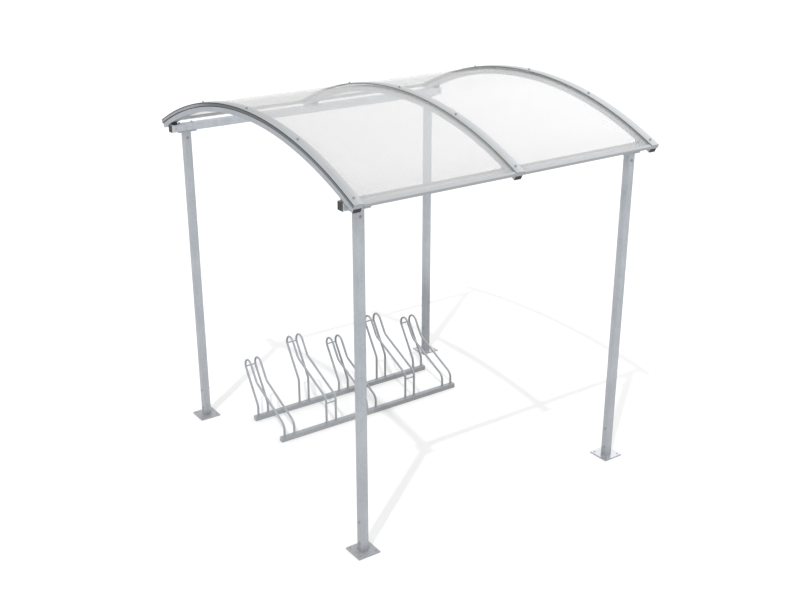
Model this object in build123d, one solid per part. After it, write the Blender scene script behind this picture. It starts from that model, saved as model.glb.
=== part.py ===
from build123d import *
import math
import os

# Bike shelter: four posts, two eaves rails and three arches carrying a curved
# two-sheet roof, over a free-standing five-place wheel rack. Millimetres, +Z up.
# X runs along the rails, Y from the open front (-Y) to the rear (+Y), and the
# origin lies on the ground at the centre of the four posts.

# ---------------------------------------------------------------- frame sizes
shelter_length = 2246.0  # along X, across the plugs of the rails
post_end_distance = 113.0  # end of the shelter to the centre of a post
arch_end_distance = 32.0  # end of the shelter to the centre of an outer arch
post_spacing_y = 2130.0
eaves_height = 2152.0  # ground to the underside of the rails
post_size = 50.0
post_wall = 2.5
tube_corner_radius = 3.0
least_corner_radius = 0.2  # inside corner of a tube with thick walls

foot_plate_size = 150.0
foot_plate_thickness = 8.0
foot_hole_spacing = 110.0
foot_hole_diameter = 12.0
foot_spigot_height = 240.0

head_plate_length = 130.0
head_plate_width = 60.0
head_plate_thickness = 6.0
head_spigot_depth = 80.0
spigot_wall = 3.0
spigot_clearance = 0.5  # between a spigot and the inside of its post

rail_width = 50.0
rail_height = 50.0
rail_wall = 2.5
plug_head_thickness = 3.0
plug_depth = 22.0
plug_wall = 3.0
plug_edge = 0.2  # head of a plug, inside the outer faces of its tube
plug_clearance = 0.4  # between a plug and the inside of its tube

# ---------------------------------------------------------------- roof sizes
arch_radius = 2612.5  # underside of the arch tubes
arch_width = 50.0
arch_depth = 30.0
arch_wall = 2.0
roof_depth = 2404.0  # front to rear, across the ends of the glazing bars
pad_edge_thickness = 2.0  # wedge pad at the outer edge of the rail
pad_width = 24.0  # along the rail, centred under its arch
bracket_width = 40.0
bracket_thickness = 5.0
bracket_drop = 44.0  # below the top of the rail

gasket_thickness = 5.0
gasket_width = 8.0
sheet_thickness = 16.0
sheet_joint_gap = 10.0  # between the two sheets over the middle arch
glazing_bar_width = 60.0
glazing_bar_thickness = 2.5
edge_profile_wall = 1.5
edge_profile_leg = 20.0
edge_profile_end_gap = 1.0  # to the side of the glazing bar
edge_profile_clearance = 0.3  # between a profile and the sheet inside it

screws_per_bar = 5
screw_end_distance = 55.0  # end screw to the end of its bar, along the bar
screw_washer_diameter = 16.0
screw_washer_thickness = 2.0
screw_head_across_flats = 10.0
screw_head_height = 5.5
screw_shank_diameter = 6.3
screw_hole_diameter = 7.0
screw_tip_length = 12.0  # below the inside of the arch's top wall

# ---------------------------------------------------------------- rack sizes
rack_centre_x = 9.0
rack_centre_y = 574.0
rack_length = 1540.0
rack_rail_spacing = 390.0
rack_rail_size = 35.0
rack_rail_wall = 2.0
holder_count = 5
holder_pitch = 350.0
holder_width = 80.0  # between the centres of a holder's two bars
bar_diameter = 16.0
bar_bend_radius = 60.0
hoop_radius = 50.0  # top bend of a bar, to its centre line
rear_lean = 57.0  # slope of the rear run, in degrees from level
front_slope = 24.0  # slope of the lower front run
low_rear_bend_height = 115.0
low_front_bend_height = 125.0
low_top_height = 437.0
high_rear_bend_height = 228.0
high_front_bend_height = 235.0
high_top_height = 538.0
link_diameter = 10.0
top_link_turn = 15.0  # round the hoop, in degrees from the end of the rear run
low_link_drop = 42.0  # lower link of a high holder, below the corner of its front bend

# ---------------------------------------------------------------- worked out
post_x = shelter_length / 2 - post_end_distance
arch_spacing = shelter_length / 2 - arch_end_distance
rail_length = shelter_length - 2 * plug_head_thickness
post_bottom = foot_plate_thickness
post_top = eaves_height - head_plate_thickness
rail_top = eaves_height + rail_height
rail_y = post_spacing_y / 2
rail_outer_y = rail_y + rail_width / 2
rail_inner_y = rail_y - rail_width / 2

arch_top_radius = arch_radius + arch_depth
sheet_radius = arch_top_radius + gasket_thickness
sheet_top_radius = sheet_radius + sheet_thickness
bar_radius = sheet_top_radius + gasket_thickness
bar_top_radius = bar_radius + glazing_bar_thickness
arch_centre_z = rail_top + pad_edge_thickness - math.sqrt(arch_radius**2 - rail_outer_y**2)
roof_half_angle = math.degrees(math.asin(roof_depth / 2 / bar_top_radius))
arch_x = [-arch_spacing, 0.0, arch_spacing]
side_names = ["left", "middle", "right"]

rack_rail_y = [rack_centre_y - rack_rail_spacing / 2, rack_centre_y + rack_rail_spacing / 2]


# ---------------------------------------------------------------- shared shapes
def angle_of(length, radius):
    """Angle in degrees of an arc of the given length."""
    return math.degrees(length / radius)


def roof_point(radius, angle):
    """(y, z) of a point at an angle from the crown, positive towards the rear."""
    turn = math.radians(angle)
    return (radius * math.sin(turn), arch_centre_z + radius * math.cos(turn))


def arc_band(inner, outer, start, end, x_low, x_high):
    """Curved bar between two radii and two angles, from x_low to x_high."""
    middle = (start + end) / 2
    outline = ThreePointArc(*(roof_point(outer, a) for a in (start, middle, end)))
    outline += Line(roof_point(outer, end), roof_point(inner, end))
    outline += ThreePointArc(*(roof_point(inner, a) for a in (end, middle, start)))
    outline += Line(roof_point(inner, start), roof_point(outer, start))
    return extrude(Plane.YZ.offset(x_low) * make_face(outline), x_high - x_low)


def box_between(low, high):
    """Box from its low corner to its high corner."""
    size = [b - a for a, b in zip(low, high)]
    centre = [(a + b) / 2 for a, b in zip(low, high)]
    return Pos(*centre) * Box(*size)


def tube(plane, width, height, wall, length):
    """Tube with rounded corners from a plane, along the plane's normal."""
    inner_corner = max(tube_corner_radius - wall, least_corner_radius)
    section = RectangleRounded(width, height, tube_corner_radius)
    section -= RectangleRounded(width - 2 * wall, height - 2 * wall, inner_corner)
    return extrude(plane * section, length)


def hollow_plug(plane, width, height, wall):
    """End plug on the plane of a tube's end: a head outside and a hollow body inside."""
    body_width = width - 2 * (wall + plug_clearance)
    body_height = height - 2 * (wall + plug_clearance)
    head = extrude(plane * Rectangle(width - 2 * plug_edge, height - 2 * plug_edge), plug_head_thickness)
    body = Rectangle(body_width, body_height)
    body -= Rectangle(body_width - 2 * plug_wall, body_height - 2 * plug_wall)
    return head + extrude(plane * body, -plug_depth)


def radial_plane(radius, angle, x):
    """Plane square to the roof's radius, its normal pointing outwards."""
    y, z = roof_point(radius, angle)
    turn = math.radians(angle)
    return Plane((x, y, z), x_dir=(1, 0, 0), z_dir=(0, math.sin(turn), math.cos(turn)))


def write(name, *solids):
    """Export one node's solids."""
    node = solids[0] if len(solids) == 1 else Compound(children=list(solids))
    export_step(node, f"parts/{name}.step")


# ---------------------------------------------------------------- posts, feet, heads
def spigot(plane, length):
    """Square stub that a post slides over."""
    size = post_size - 2 * (post_wall + spigot_clearance)
    return tube(plane, size, size, spigot_wall, length)


def foot(x, y):
    """Bolted ground plate with its welded stub."""
    plate = box_between(
        (x - foot_plate_size / 2, y - foot_plate_size / 2, 0),
        (x + foot_plate_size / 2, y + foot_plate_size / 2, foot_plate_thickness),
    )
    holes = GridLocations(foot_hole_spacing, foot_hole_spacing, 2, 2)
    drill = Cylinder(foot_hole_diameter / 2, 4 * foot_plate_thickness)
    plate -= [Pos(x, y, 0) * hole * drill for hole in holes]
    stub = spigot(Plane((x, y, foot_plate_thickness)), foot_spigot_height)
    return plate + stub


def head(x, y):
    """Plate under the rail with its welded stub in the post."""
    plate = box_between(
        (x - head_plate_length / 2, y - head_plate_width / 2, post_top),
        (x + head_plate_length / 2, y + head_plate_width / 2, eaves_height),
    )
    stub = spigot(Plane((x, y, post_top - head_spigot_depth)), head_spigot_depth)
    return plate + stub


for side, x in (("left", -post_x), ("right", post_x)):
    for row, y in (("front", -rail_y), ("rear", rail_y)):
        post = tube(Plane((x, y, post_bottom)), post_size, post_size, post_wall, post_top - post_bottom)
        write(f"post_{row}_{side}", post)
        write(f"foot_{row}_{side}", foot(x, y))
        write(f"head_{row}_{side}", head(x, y))


# ---------------------------------------------------------------- eaves rails
def rail(y):
    """Eaves rail along X."""
    start = (-rail_length / 2, y, eaves_height + rail_height / 2)
    plane = Plane(start, x_dir=(0, 1, 0), z_dir=(1, 0, 0))
    return tube(plane, rail_width, rail_height, rail_wall, rail_length)


def rail_plugs():
    """Black plugs in the four open ends of the rails."""
    plugs = []
    for y in (-rail_y, rail_y):
        for way in (-1, 1):
            end = (way * rail_length / 2, y, eaves_height + rail_height / 2)
            plane = Plane(end, x_dir=(0, 1, 0), z_dir=(way, 0, 0))
            plugs.append(hollow_plug(plane, rail_width, rail_height, rail_wall))
    return plugs


write("rail_front", rail(-rail_y))
write("rail_rear", rail(rail_y))
write("rail_end_plugs", *rail_plugs())


# ---------------------------------------------------------------- arches
tube_half_angle = roof_half_angle - angle_of(plug_head_thickness, arch_radius)
screw_angles = [
    (2 * i / (screws_per_bar - 1) - 1) * (roof_half_angle - angle_of(screw_end_distance, bar_top_radius))
    for i in range(screws_per_bar)
]


def screw_holes(x):
    """Drills for the screws of one glazing bar."""
    reach = bar_top_radius - arch_top_radius + 2 * arch_wall
    drill = Cylinder(screw_hole_diameter / 2, 2 * reach)
    return [radial_plane(sheet_radius, angle, x) * drill for angle in screw_angles]


def arch(x):
    """Hollow curved tube drilled for the roof screws."""
    half, over = tube_half_angle, tube_half_angle + 1
    half_width = arch_width / 2
    shell = arc_band(arch_radius, arch_top_radius, -half, half, x - half_width, x + half_width)
    inner = half_width - arch_wall
    shell -= arc_band(
        arch_radius + arch_wall, arch_top_radius - arch_wall, -over, over, x - inner, x + inner
    )
    drills = [
        radial_plane(arch_top_radius, angle, x) * Cylinder(screw_hole_diameter / 2, 3 * arch_wall)
        for angle in screw_angles
    ]
    return shell - drills


def arch_plugs():
    """Black plugs in the ends of the arches."""
    plugs = []
    for x in arch_x:
        for way in (-1, 1):
            turn = math.radians(tube_half_angle)
            y, z = roof_point(arch_radius + arch_depth / 2, way * tube_half_angle)
            outwards = (0, way * math.cos(turn), -math.sin(turn))
            plane = Plane((x, y, z), x_dir=(1, 0, 0), z_dir=outwards)
            plugs.append(hollow_plug(plane, arch_width, arch_depth, arch_wall))
    return plugs


def under_arch(low, high):
    """Box cut off by the curved underside of the arches."""
    half = roof_half_angle
    above = arc_band(arch_radius, bar_top_radius, -half, half, low[0] - 1, high[0] + 1)
    return box_between(low, high) - above


def arch_pads():
    """Wedge pads between the top of the rails and the arches."""
    pads = []
    for x in arch_x:
        for way in (-1, 1):
            near, far = sorted((way * rail_inner_y, way * rail_outer_y))
            low = (x - pad_width / 2, near, rail_top)
            high = (x + pad_width / 2, far, rail_top + arch_depth)
            pads.append(under_arch(low, high))
    return pads


def arch_brackets():
    """Flat brackets from the arches down the outer face of the rails."""
    brackets = []
    for x in arch_x:
        for way in (-1, 1):
            near, far = sorted((way * rail_outer_y, way * (rail_outer_y + bracket_thickness)))
            low = (x - bracket_width / 2, near, rail_top - bracket_drop)
            high = (x + bracket_width / 2, far, rail_top + arch_depth / 2)
            brackets.append(under_arch(low, high))
    return brackets


for name, x in zip(side_names, arch_x):
    write(f"arch_{name}", arch(x))
write("arch_end_plugs", *arch_plugs())
write("arch_pads", *arch_pads())
write("arch_brackets", *arch_brackets())


# ---------------------------------------------------------------- roof
sheet_edge_x = arch_spacing + glazing_bar_width / 2


def sheet(way):
    """Curved roof sheet from the middle arch to an outer one."""
    x_low, x_high = sorted((way * sheet_joint_gap / 2, way * sheet_edge_x))
    half = roof_half_angle
    plate = arc_band(sheet_radius, sheet_top_radius, -half, half, x_low, x_high)
    return plate - screw_holes(way * arch_spacing)


def edge_profile(way, end):
    """U profile over the end of a sheet, between two glazing bars."""
    clear = glazing_bar_width / 2 + edge_profile_end_gap
    x_low, x_high = sorted((way * clear, way * (arch_spacing - clear)))
    slot_inner = sheet_radius - edge_profile_clearance
    slot_outer = sheet_top_radius + edge_profile_clearance
    leg = angle_of(edge_profile_leg, sheet_radius)
    slot_end = roof_half_angle + angle_of(edge_profile_clearance, sheet_radius)
    web_end = slot_end + angle_of(edge_profile_wall, sheet_radius)
    start, stop = sorted((end * (web_end - leg), end * web_end))
    slot_start, slot_stop = sorted((end * (web_end - 2 * leg), end * slot_end))
    channel = arc_band(
        slot_inner - edge_profile_wall, slot_outer + edge_profile_wall, start, stop, x_low, x_high
    )
    return channel - arc_band(slot_inner, slot_outer, slot_start, slot_stop, x_low - 1, x_high + 1)


def gaskets(x):
    """Two strips under the sheets and two under the glazing bar."""
    strips = []
    half = roof_half_angle
    lower = arch_width / 2
    upper = glazing_bar_width / 2
    for way in (-1, 1):
        for edge, inner, outer in (
            (lower, arch_top_radius, sheet_radius),
            (upper, sheet_top_radius, bar_radius),
        ):
            x_low, x_high = sorted((x + way * (edge - gasket_width), x + way * edge))
            strips.append(arc_band(inner, outer, -half, half, x_low, x_high))
    return strips


def glazing_bar(x):
    """Clamping bar over the sheets."""
    half = roof_half_angle
    half_width = glazing_bar_width / 2
    bar = arc_band(bar_radius, bar_top_radius, -half, half, x - half_width, x + half_width)
    return bar - screw_holes(x)


def screw(x, angle):
    """Hexagon screw with its washer, through a glazing bar into its arch."""
    seat = radial_plane(bar_top_radius, angle, x)
    length = bar_top_radius - arch_top_radius + arch_wall + screw_tip_length
    washer = extrude(seat * Circle(screw_washer_diameter / 2), screw_washer_thickness)
    hexagon = RegularPolygon(screw_head_across_flats / 2, 6, major_radius=False)
    head = extrude(seat.offset(screw_washer_thickness) * hexagon, screw_head_height)
    return washer + head + extrude(seat * Circle(screw_shank_diameter / 2), -length)


for name, way in (("left", -1), ("right", 1)):
    write(f"roof_sheet_{name}", sheet(way))
write("edge_profiles_front", edge_profile(-1, -1), edge_profile(1, -1))
write("edge_profiles_rear", edge_profile(-1, 1), edge_profile(1, 1))
for name, x in zip(side_names, arch_x):
    write(f"gaskets_{name}", *gaskets(x))
    write(f"glazing_bar_{name}", glazing_bar(x))
write("roof_screws", *(screw(x, angle) for x in arch_x for angle in screw_angles))


# ---------------------------------------------------------------- wheel rack
def rack_rail(y):
    """Low rail on the ground that the holders are welded to."""
    start = (rack_centre_x - rack_length / 2 + plug_head_thickness, y, rack_rail_size / 2)
    plane = Plane(start, x_dir=(0, 1, 0), z_dir=(1, 0, 0))
    length = rack_length - 2 * plug_head_thickness
    return tube(plane, rack_rail_size, rack_rail_size, rack_rail_wall, length)


def rack_plugs():
    """Grey plugs in the ends of the rack's rails."""
    plugs = []
    for y in rack_rail_y:
        for way in (-1, 1):
            x = rack_centre_x + way * (rack_length / 2 - plug_head_thickness)
            plane = Plane((x, y, rack_rail_size / 2), x_dir=(0, 1, 0), z_dir=(way, 0, 0))
            plugs.append(hollow_plug(plane, rack_rail_size, rack_rail_size, rack_rail_wall))
    return plugs


def bar_path(rear_bend, front_bend, top):
    """Centre line of one bent bar as (y, z) points and the hoop at its top.

    The rear run leans back from a short leg, turns over a half-circle hoop, comes
    down parallel to itself, flattens to the front slope and ends in a short leg.
    The top link crosses on the rear side of the hoop.
    """
    lean, slope = math.radians(rear_lean), math.radians(front_slope)
    along = (math.cos(lean), math.sin(lean))
    across = (-along[1], along[0])
    front_y, rear_y = rack_rail_y
    hoop_z = top - hoop_radius
    rear_run = (hoop_z - rear_bend - hoop_radius * across[1]) / along[1]
    hoop = (
        rear_y + rear_run * along[0] + hoop_radius * across[0],
        rear_bend + rear_run * along[1] + hoop_radius * across[1],
    )
    rear_end = tuple(c - hoop_radius * a for c, a in zip(hoop, across))
    front_end = tuple(c + hoop_radius * a for c, a in zip(hoop, across))
    crest = tuple(c + hoop_radius * a for c, a in zip(hoop, along))
    turn = math.radians(top_link_turn)
    swing = [math.sin(turn) * a - math.cos(turn) * b for a, b in zip(along, across)]
    top_link = tuple(c + hoop_radius * s for c, s in zip(hoop, swing))
    rise = math.tan(slope)
    steep = along[1] / along[0]
    kink_y = (front_end[1] - front_bend - steep * front_end[0] + rise * front_y) / (rise - steep)
    kink = (kink_y, front_bend + rise * (kink_y - front_y))
    return {
        "rear": [(rear_y, rack_rail_size), (rear_y, rear_bend), rear_end],
        "hoop": [rear_end, crest, front_end],
        "front": [front_end, kink, (front_y, front_bend), (front_y, rack_rail_size)],
        "top_link": top_link,
    }


def bent_bar(path, x):
    """Round bar along one bent path."""
    line = FilletPolyline(*path["rear"], radius=bar_bend_radius)
    line += ThreePointArc(*path["hoop"])
    line += FilletPolyline(*path["front"], radius=bar_bend_radius)
    route = Plane.YZ.offset(x) * line
    start = (x, rack_rail_y[1], rack_rail_size)
    return sweep(Plane(start, z_dir=(0, 0, 1)) * Circle(bar_diameter / 2), route)


def link(x, y, z):
    """Short cross bar between the two bars of a holder."""
    start = Plane((x - holder_width / 2, y, z), z_dir=(1, 0, 0))
    return extrude(start * Circle(link_diameter / 2), holder_width)


def holder(x, high):
    """Two bent bars side by side, joined by one link or, when high, two."""
    if high:
        path = bar_path(high_rear_bend_height, high_front_bend_height, high_top_height)
    else:
        path = bar_path(low_rear_bend_height, low_front_bend_height, low_top_height)
    shape = bent_bar(path, x - holder_width / 2) + bent_bar(path, x + holder_width / 2)
    shape += link(x, *path["top_link"])
    if high:
        shape += link(x, rack_rail_y[0], high_front_bend_height - low_link_drop)
    return shape


write("rack_rail_front", rack_rail(rack_rail_y[0]))
write("rack_rail_rear", rack_rail(rack_rail_y[1]))
write("rack_end_plugs", *rack_plugs())
for number in range(holder_count):
    holder_x = rack_centre_x + (number - (holder_count - 1) / 2) * holder_pitch
    write(f"wheel_holder_{number + 1}", holder(holder_x, high=number % 2 == 1))
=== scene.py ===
"""Looks of the bike shelter: finishes, twin-wall sheets, fixings, weld beads and a plain studio.

Lengths are metres in the frame's own axes: +X along the rails, +Y from the open front to the
rear, +Z up. Places come from the packed frame, and the settings below hold what it doesn't say.
"""

import math

import bpy
import numpy as np
from bpy.props import FloatProperty, FloatVectorProperty, PointerProperty
from bpy.types import Operator, Panel, PropertyGroup
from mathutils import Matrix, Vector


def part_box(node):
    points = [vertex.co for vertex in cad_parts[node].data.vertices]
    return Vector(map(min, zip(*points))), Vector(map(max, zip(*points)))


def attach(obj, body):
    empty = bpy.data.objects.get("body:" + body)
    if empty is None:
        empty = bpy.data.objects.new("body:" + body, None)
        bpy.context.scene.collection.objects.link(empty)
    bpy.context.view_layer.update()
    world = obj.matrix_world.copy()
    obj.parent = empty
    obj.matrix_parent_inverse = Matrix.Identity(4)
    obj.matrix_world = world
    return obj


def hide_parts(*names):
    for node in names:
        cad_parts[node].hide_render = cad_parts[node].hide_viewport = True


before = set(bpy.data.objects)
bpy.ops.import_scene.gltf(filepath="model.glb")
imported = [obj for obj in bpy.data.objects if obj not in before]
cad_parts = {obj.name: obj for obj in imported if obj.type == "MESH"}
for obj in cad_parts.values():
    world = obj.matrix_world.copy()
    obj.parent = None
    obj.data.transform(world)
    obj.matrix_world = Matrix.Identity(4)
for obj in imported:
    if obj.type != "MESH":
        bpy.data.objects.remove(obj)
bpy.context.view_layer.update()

bl_info = {
    "name": "Bike Shelter Looks",
    "version": (1, 0, 0),
    "blender": (4, 5, 0),
    "location": "View3D > Sidebar > Shelter",
    "description": "Finishes, roof sheets, fixings and studio for a packed bike shelter",
    "category": "Object",
}

BODY = "root"
SIDES = ("left", "middle", "right")
ENDS = ("left", "right")
ROWS = ("front", "rear")
WHITE = (1.0, 1.0, 1.0)
BLACK = (0.0, 0.0, 0.0)
SHARP_EDGE = math.radians(35.0)  # an edge that turns more than this is drawn sharp
ROUND = 24  # sides of a round or hexagonal fixing, a multiple of six
HEXAGON_CORNER = 0.58  # radius of a hexagon's corners, for each unit across its flats
RIPPLE = 0.12  # how much a weld bead's radius swells and shrinks
PLUG_INSET = 0.0004  # a plug's head is this much smaller than its tube
CONTACT = 1e-4  # corners of a mesh this near to a level lie on it


# ---- settings
def length(name, default, description):
    """Property for a length in metres."""
    return FloatProperty(name=name, description=description, default=default, min=0.0, unit="LENGTH")


def angle(name, degrees, description):
    """Property for an angle."""
    return FloatProperty(
        name=name, description=description, default=math.radians(degrees), subtype="ANGLE"
    )


def amount(name, default, description):
    """Property for a number that isn't below 0."""
    return FloatProperty(name=name, description=description, default=default, min=0.0)


def share(name, default, description):
    """Property for a share from 0 to 1."""
    return FloatProperty(
        name=name, description=description, default=default, min=0.0, max=1.0, subtype="FACTOR"
    )


def colour(name, default, description):
    """Property for a linear colour."""
    return FloatVectorProperty(
        name=name, description=description, default=default, size=3, min=0.0, max=1.0, subtype="COLOR"
    )


class ShelterMetal(PropertyGroup):
    """Finishes of the zinc-coated steel, the aluminium and the fasteners."""

    zinc_light: colour("Zinc, light", (0.525, 0.553, 0.583), "Lighter patches of the zinc coat")
    zinc_dark: colour("Zinc, dark", (0.435, 0.466, 0.506), "Darker patches of the zinc coat")
    spangle: length("Spangle", 0.011, "Size of the crystals in the zinc coat")
    aluminium: colour("Aluminium", (0.485, 0.507, 0.52), "Extruded bars over the roof sheets")
    profile: colour("Profile", (0.535, 0.55, 0.565), "Profiles round the edges of the roof sheets")
    fastener: colour("Fastener", (0.32, 0.33, 0.34), "Screws, bolts and nuts")
    # this colour serves for splashed dirt, the darkening low down, and painted shade on top of the
    # front rail
    grime_and_shade: colour("Grime", (0.30, 0.288, 0.278), "Dust near the ground and on top of the front rail")
    splash_height: length("Splashes", 0.16, "How high dirt splashes up the posts")
    # below this height the coat gets darker towards the bottom
    darker_below: length("Dust", 0.9, "How high the thinner dust reaches")
    # painted shade: how much darker upright faces are near the posts' feet and low on the rear right
    # post; the rack's right half takes the same plain darkening
    darkening: share("Darkening", 0.25, "How much darker upright faces are where the coat is tarnished")
    # painted highlight: this light colour on the top faces of the right foot plates stands in for the
    # light they reflect; the coat there is also smoother and cleaner
    smooth: colour("Smooth coat", (0.59, 0.607, 0.635), "Smooth coat on top of the right foot plates")


class ShelterRoof(PropertyGroup):
    """Sizes and colours of the twin-wall roof sheets and their rubber."""

    flute_pitch: length("Flute pitch", 0.01862, "Distance between two webs inside a sheet")
    flute_start: length("First web", 0.0069, "Place of one web along X")
    flute_relief: length("Flute relief", 0.00025, "How far a skin dips at each web")
    clearness: share("Clearness", 0.69, "Share of light that passes straight through one new skin")
    haze: share("Haze", 0.14, "How much less passes at the weathered left end of the roof")
    web_cover: share("Web cover", 0.11, "How much more a skin covers at a web")
    sheet_light: colour("Sheet", (0.695, 0.695, 0.695), "New skin between two webs")
    sheet_dark: colour("Web", (0.595, 0.595, 0.595), "New skin over a web")
    weathering: share("Weathering", 0.14, "How much darker a skin is at the left end")
    side_dark: colour("Sheet side", (0.103, 0.110, 0.120), "Closed outer side of a sheet")
    # painted light: this lighter colour of a sheet's closed side at the rear stands in for light seen
    # through the clear edge
    side_light: colour("Sheet side, rear", (0.31, 0.32, 0.33), "Paler rear part of that side")
    rubber: colour("Rubber", (0.024, 0.026, 0.030), "Outer gaskets, pads and seals")
    # painted light: the grey of the gaskets beside the sheets stands in for the light that comes
    # through the sheets
    sheet_lit_rubber: colour("Lit rubber", (0.235, 0.245, 0.24), "Gaskets beside the sheets, with dust")
    plug: colour("Plug", (0.045, 0.047, 0.052), "End plugs of the arches")
    rail_plug: colour("Rail plug", (0.055, 0.053, 0.052), "End plugs of the rails")
    rack_plug: colour("Rack plug", (0.33, 0.345, 0.36), "End plugs of the rack")


class ShelterFixings(PropertyGroup):
    """Sizes of the bolts, nuts, screws and weld beads."""

    bolt: length("Bolt", 0.008, "Diameter of the frame's bolts")
    across_flats: length("Across flats", 0.013, "Width of a bolt's hexagon")
    head_height: length("Head height", 0.0053, "Height of a bolt's head")
    nut_height: length("Nut height", 0.0065, "Height of a nut")
    washer: length("Washer", 0.017, "Diameter of a washer")
    washer_thickness: length("Washer thickness", 0.0016, "Thickness of a washer")
    tip: length("Tip", 0.006, "Length of a bolt beyond its nut")
    thread: length("Thread", 0.00125, "Distance between two turns of a bolt's thread")
    foot_bolt_low: length("Lower foot bolt", 0.065, "Height of the lower bolt through a post")
    foot_bolt_high: length("Upper foot bolt", 0.208, "Height of the upper bolt through a post")
    head_bolt_drop: length("Head bolt", 0.041, "Bolt through the top of a post, below its end")
    rail_bolt_reach: length("Rail bolt", 0.045, "Bolt through a rail, beside the post's centre")
    cap_radius: length("Cap", 0.0085, "Radius of the domed cap nuts on the rails")
    cap_height: length("Cap height", 0.011, "Height of the domed cap nuts")
    button_height: length("Button", 0.0028, "Height of the low bolt heads inside the rails")
    bead: length("Weld bead", 0.0042, "Radius of a weld bead")


class ShelterStage(PropertyGroup):
    """Floor, light and camera of the studio."""

    floor_size: length("Floor", 80.0, "Side of the square floor")
    floor_colour: colour("Floor colour", (0.90, 0.90, 0.90), "Pale floor")
    sky: amount("Sky", 1.0, "White light from above")
    ground: amount("Ground", 0.78, "White light from below the horizon")
    far_ground: amount("Far ground", 0.42, "How much stronger the light from below is behind")
    far_haze: amount("Far haze", 0.22, "How much weaker the light low in the sky is behind")
    right_side: amount("Right side", 0.62, "How much stronger the light from above is at the right")
    sun: amount("Sun", 0.85, "Lamp that throws the shadows")
    sun_heading: angle("Sun heading", 217.0, "Direction of the lamp, from +X towards +Y")
    sun_height: angle("Sun height", 57.8, "Angle of the lamp above the horizon")
    sun_spread: angle("Sun spread", 1.2, "Angle that the lamp fills")
    lens: amount("Lens", 50.118, "Focal length in millimetres")
    camera_place: FloatVectorProperty(
        name="Camera", description="Place of the camera", default=(-4.05996, -5.81591, 3.9006),
        size=3, subtype="TRANSLATION", unit="LENGTH",
    )
    camera_heading: angle("Camera heading", 34.95, "Turn of the view from +Y towards +X")
    camera_tilt: angle("Camera tilt", 21.986, "Angle of the view below the horizon")


# ---- shader maths
class Value:
    """A shader socket. Arithmetic on it adds Math nodes to its finish."""

    def __init__(self, finish, socket):
        self.finish = finish
        self.socket = socket

    def maths(self, operation, first, second=0.0):
        """A Math node of two values or sockets."""
        return self.finish.node("ShaderNodeMath", {"operation": operation}, {0: first, 1: second})

    def __add__(self, other):
        return self.maths("ADD", self, other)

    __radd__ = __add__

    def __sub__(self, other):
        return self.maths("SUBTRACT", self, other)

    def __rsub__(self, other):
        return self.maths("SUBTRACT", other, self)

    def __mul__(self, other):
        return self.maths("MULTIPLY", self, other)

    def __pow__(self, other):
        return self.maths("POWER", self, other)

    def __abs__(self):
        return self.maths("ABSOLUTE", self)

    def cosine(self):
        """Cosine of the value, in radians."""
        return self.maths("COSINE", self)


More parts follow.
